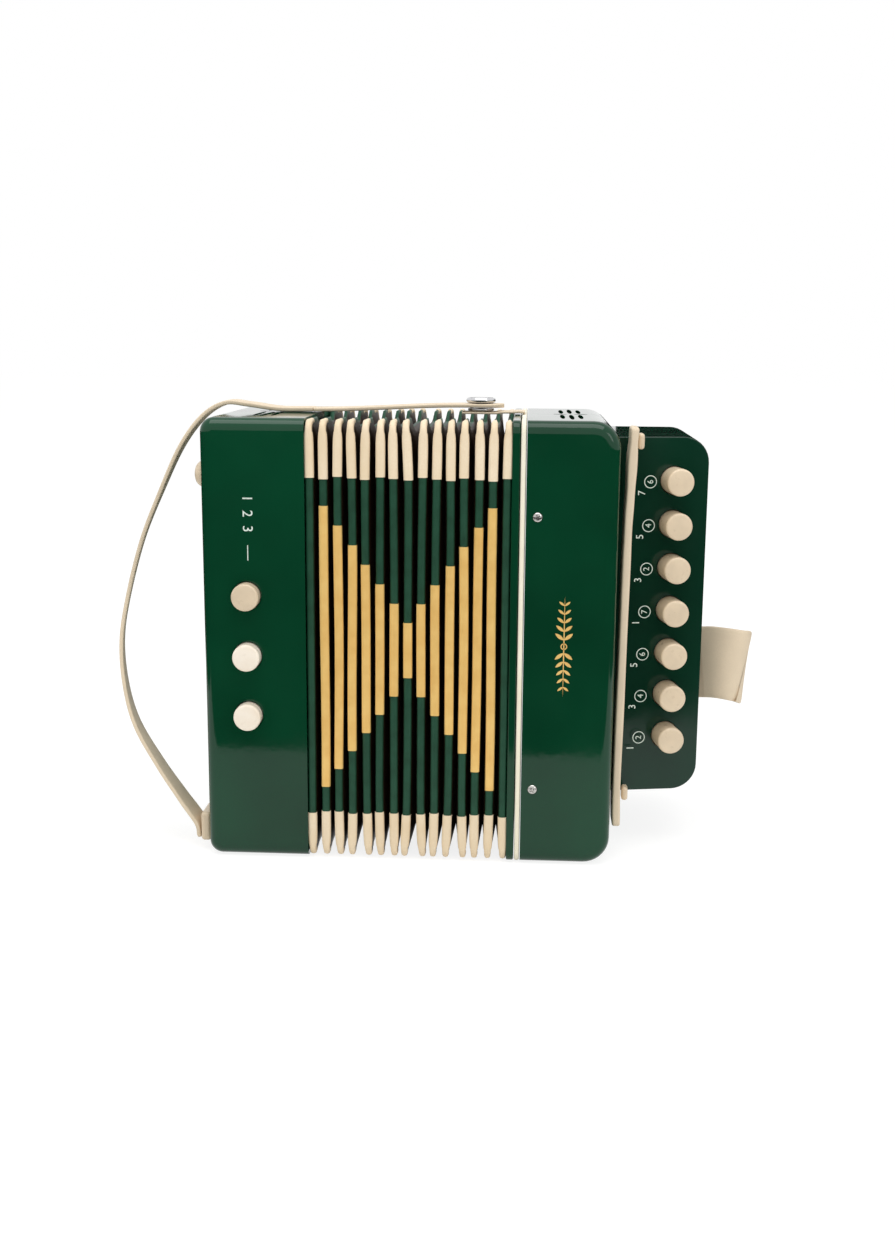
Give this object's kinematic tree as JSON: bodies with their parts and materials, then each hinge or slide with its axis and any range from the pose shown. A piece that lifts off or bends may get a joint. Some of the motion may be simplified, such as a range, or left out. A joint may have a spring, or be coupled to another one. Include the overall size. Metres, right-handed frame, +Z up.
{
  "type": "toy button accordion",
  "caption": "Toy button accordion: two rounded cases joined by a pleated bellows, with sprung treble and bass buttons, a hand strap, a thumb loop and snap closures.",
  "frame": {"origin": "middle of the treble case's foot, on the surface that both cases stand on", "axes": "+X from the bass case to the keyboard, +Y away from the buttons, +Z up"},
  "size_m": [0.2641, 0.1028, 0.1826],
  "materials": {
    "green_lacquer": "gloss",
    "dark_green_lacquer": "gloss",
    "cream_plastic": "gloss",
    "white_plastic": "gloss",
    "cream_leather": "satin",
    "chrome": "polished",
    "birch_board": "matte",
    "reed_brass": "satin",
    "pallet_felt": "matte",
    "bellows_card": "satin"
  },
  "bodies": {
    "treble_body": {"treble_case": "green_lacquer", "treble_piping": "cream_leather", "treble_bellows_frame": "green_lacquer", "treble_reed_board": "birch_board", "treble_reed_plate": "reed_brass", "keyboard_housing": "dark_green_lacquer", "treble_valve_board": "birch_board", "keyboard_strap": "cream_leather", "keyboard_strap_anchor_top": "cream_plastic", "keyboard_strap_anchor_bottom": "cream_plastic", "thumb_strap": "cream_leather", "case_screw_1": "chrome", "case_screw_2": "chrome", "top_snap_tab": "cream_leather", "top_snap_stud": "chrome", "bottom_snap_tab": "cream_leather", "bottom_snap_stud": "chrome", "bellows": "bellows_card", "treble_spring_1": "chrome", "treble_spring_2": "chrome", "treble_spring_3": "chrome", "treble_spring_4": "chrome", "treble_spring_5": "chrome", "treble_spring_6": "chrome", "treble_spring_7": "chrome"},
    "bass_body": {"bass_case": "green_lacquer", "bass_bellows_frame": "dark_green_lacquer", "bass_reed_board": "birch_board", "bass_reed_plate": "reed_brass", "bass_valve_board": "birch_board", "hand_strap": "cream_leather", "hand_strap_anchor": "cream_plastic", "bass_side_stud": "cream_plastic", "bass_spring_1": "chrome", "bass_spring_2": "chrome", "bass_spring_3": "chrome"},
    "top_closure": {"top_closure_strap": "cream_leather", "top_snap_cap": "chrome"},
    "bottom_closure": {"bottom_closure_strap": "cream_leather", "bottom_snap_cap": "chrome"},
    "treble_key_1": {"treble_button_1": "cream_plastic", "treble_pallet_1": "pallet_felt"},
    "treble_key_2": {"treble_button_2": "cream_plastic", "treble_pallet_2": "pallet_felt"},
    "treble_key_3": {"treble_button_3": "cream_plastic", "treble_pallet_3": "pallet_felt"},
    "treble_key_4": {"treble_button_4": "cream_plastic", "treble_pallet_4": "pallet_felt"},
    "treble_key_5": {"treble_button_5": "cream_plastic", "treble_pallet_5": "pallet_felt"},
    "treble_key_6": {"treble_button_6": "cream_plastic", "treble_pallet_6": "pallet_felt"},
    "treble_key_7": {"treble_button_7": "cream_plastic", "treble_pallet_7": "pallet_felt"},
    "bass_key_1": {"bass_button_1": "white_plastic", "bass_pallet_1": "pallet_felt"},
    "bass_key_2": {"bass_button_2": "white_plastic", "bass_pallet_2": "pallet_felt"},
    "bass_key_3": {"bass_button_3": "cream_plastic", "bass_pallet_3": "pallet_felt"}
  },
  "joints": [
    {"name": "bellows_draw", "type": "slide", "parent": "treble_body", "child": "bass_body", "axis": [-1, 0, 0], "range_m": [0, 0.12], "deforming": ["bellows"]},
    {"name": "top_closure_lift", "type": "hinge", "parent": "bass_body", "child": "top_closure", "pos_m": [-0.1053, 0, 0.1779], "axis": [0, -1, 0], "range_deg": [0, 100]},
    {"name": "bottom_closure_drop", "type": "hinge", "parent": "bass_body", "child": "bottom_closure", "pos_m": [-0.1028, 0, 0.0018], "axis": [0, 1, 0], "range_deg": [0, 90]},
    {"name": "treble_key_1_press", "type": "slide", "parent": "treble_body", "child": "treble_key_1", "axis": [-0.1805, 0.9836, 0], "range_m": [0, 0.0035], "stiffness_N_per_m": 150, "springref_m": -0.002, "deforming": ["treble_spring_1"]},
    {"name": "treble_key_2_press", "type": "slide", "parent": "treble_body", "child": "treble_key_2", "axis": [-0.1805, 0.9836, 0], "range_m": [0, 0.0035], "stiffness_N_per_m": 150, "springref_m": -0.002, "deforming": ["treble_spring_2"]},
    {"name": "treble_key_3_press", "type": "slide", "parent": "treble_body", "child": "treble_key_3", "axis": [-0.1805, 0.9836, 0], "range_m": [0, 0.0035], "stiffness_N_per_m": 150, "springref_m": -0.002, "deforming": ["treble_spring_3"]},
    {"name": "treble_key_4_press", "type": "slide", "parent": "treble_body", "child": "treble_key_4", "axis": [-0.1805, 0.9836, 0], "range_m": [0, 0.0035], "stiffness_N_per_m": 150, "springref_m": -0.002, "deforming": ["treble_spring_4"]},
    {"name": "treble_key_5_press", "type": "slide", "parent": "treble_body", "child": "treble_key_5", "axis": [-0.1805, 0.9836, 0], "range_m": [0, 0.0035], "stiffness_N_per_m": 150, "springref_m": -0.002, "deforming": ["treble_spring_5"]},
    {"name": "treble_key_6_press", "type": "slide", "parent": "treble_body", "child": "treble_key_6", "axis": [-0.1805, 0.9836, 0], "range_m": [0, 0.0035], "stiffness_N_per_m": 150, "springref_m": -0.002, "deforming": ["treble_spring_6"]},
    {"name": "treble_key_7_press", "type": "slide", "parent": "treble_body", "child": "treble_key_7", "axis": [-0.1805, 0.9836, 0], "range_m": [0, 0.0035], "stiffness_N_per_m": 150, "springref_m": -0.002, "deforming": ["treble_spring_7"]},
    {"name": "bass_key_1_press", "type": "slide", "parent": "bass_body", "child": "bass_key_1", "axis": [0, 1, 0], "range_m": [0, 0.003], "stiffness_N_per_m": 150, "springref_m": -0.002, "deforming": ["bass_spring_1"]},
    {"name": "bass_key_2_press", "type": "slide", "parent": "bass_body", "child": "bass_key_2", "axis": [0, 1, 0], "range_m": [0, 0.003], "stiffness_N_per_m": 150, "springref_m": -0.002, "deforming": ["bass_spring_2"]},
    {"name": "bass_key_3_press", "type": "slide", "parent": "bass_body", "child": "bass_key_3", "axis": [0, 1, 0], "range_m": [0, 0.003], "stiffness_N_per_m": 150, "springref_m": -0.002, "deforming": ["bass_spring_3"]}
  ]
}
